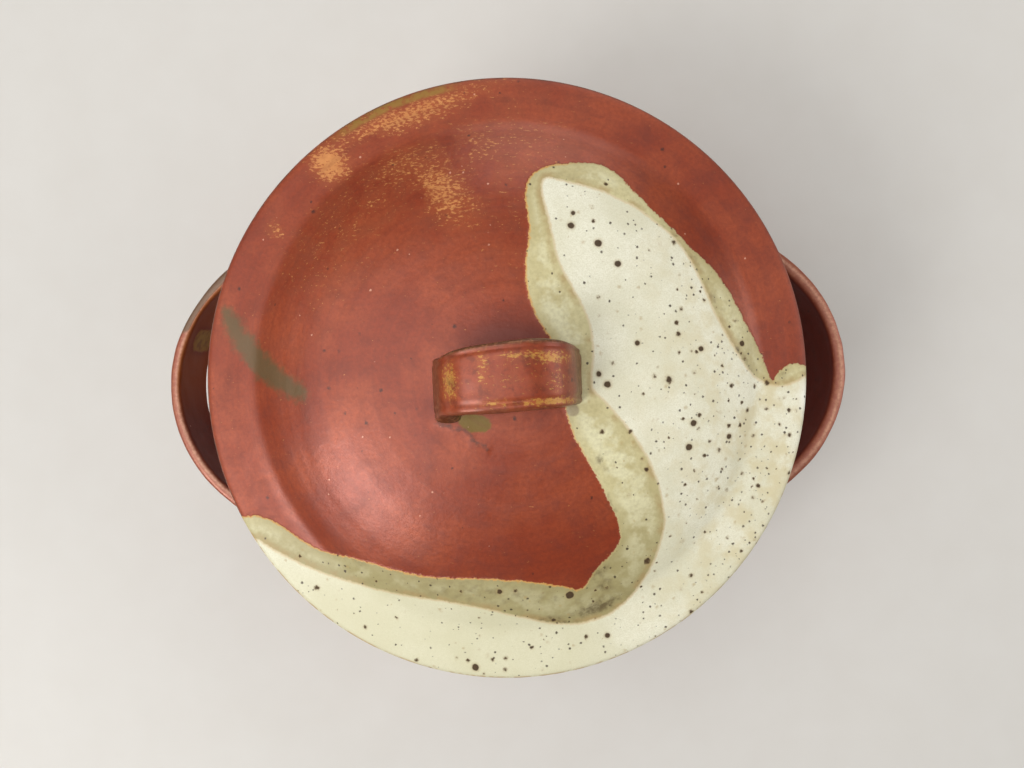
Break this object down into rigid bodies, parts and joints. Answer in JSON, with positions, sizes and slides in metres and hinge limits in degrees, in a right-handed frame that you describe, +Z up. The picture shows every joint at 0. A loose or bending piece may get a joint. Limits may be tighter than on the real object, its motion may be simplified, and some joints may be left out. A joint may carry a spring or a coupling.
{
  "type": "lidded stoneware pot",
  "caption": "Round stoneware cooking and serving pot with loop side handles and a lift-off domed cap lid with a strap handle, in poured two-tone glaze.",
  "frame": {"origin": "on the table under the middle of the foot ring, which is the middle of the base of the box", "axes": "+Z up, +X towards the right side handle, +Y away from the picture's near side"},
  "size_m": [0.292, 0.242, 0.1735],
  "materials": {
    "pot_glaze": "satin iron-red glaze, bare clay on the foot ring",
    "side_handle_glaze": "satin iron-red glaze breaking to salmon on the edges",
    "lid_glaze": "satin iron-red glaze with a poured iron-speckled cream over part of it",
    "lid_handle_glaze": "satin iron-red glaze breaking to gold"
  },
  "bodies": {
    "pot": {"pot_body": "pot_glaze", "handle_right": "side_handle_glaze", "handle_left": "side_handle_glaze"},
    "lid": {"lid": "lid_glaze", "lid_handle": "lid_handle_glaze"}
  },
  "joints": [
    {"name": "lid_lift", "type": "slide", "parent": "pot", "child": "lid", "axis": [0, 0, 1], "range_m": [0, 0.16]}
  ]
}
